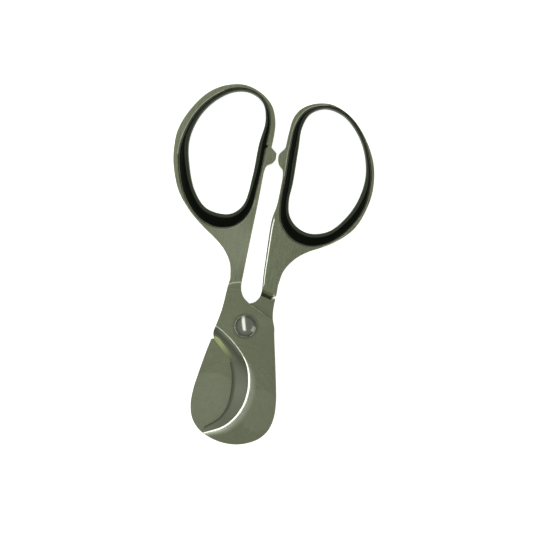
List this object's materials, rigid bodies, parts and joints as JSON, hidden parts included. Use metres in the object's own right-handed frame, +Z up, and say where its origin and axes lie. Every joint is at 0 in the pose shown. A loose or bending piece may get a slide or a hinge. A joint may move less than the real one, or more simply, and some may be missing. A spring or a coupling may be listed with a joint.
{
  "type": "wick trimmer scissors",
  "caption": "Short flat scissors with two overlapping concave round-ended blades on a domed rivet and oval finger rings lined with black beads.",
  "frame": {"origin": "where the pivot axis meets the plane the scissors rest on, at the centre of the rear rivet head's flat face", "axes": "+Z up along the pivot axis, out of the front face; +Y from the pivot towards the finger rings; +X towards the rear half's ring"},
  "size_m": [0.0686, 0.1196, 0.0049],
  "materials": {
    "brushed_steel": "matte brushed stainless steel",
    "polished_steel": "polished",
    "black_insert": "semi-gloss black"
  },
  "bodies": {
    "rear_half": {"rear_blade_half": "brushed_steel", "rear_ring_insert": "black_insert", "pivot_rivet_post": "polished_steel", "pivot_rivet_plug": "polished_steel"},
    "front_half": {"front_blade_half": "brushed_steel", "front_ring_insert": "black_insert"}
  },
  "joints": [
    {"name": "blade_pivot", "type": "hinge", "parent": "rear_half", "child": "front_half", "pos_m": [0, 0, 0.0023], "axis": [0, 0, 1], "range_deg": [-0.3, 60]}
  ]
}
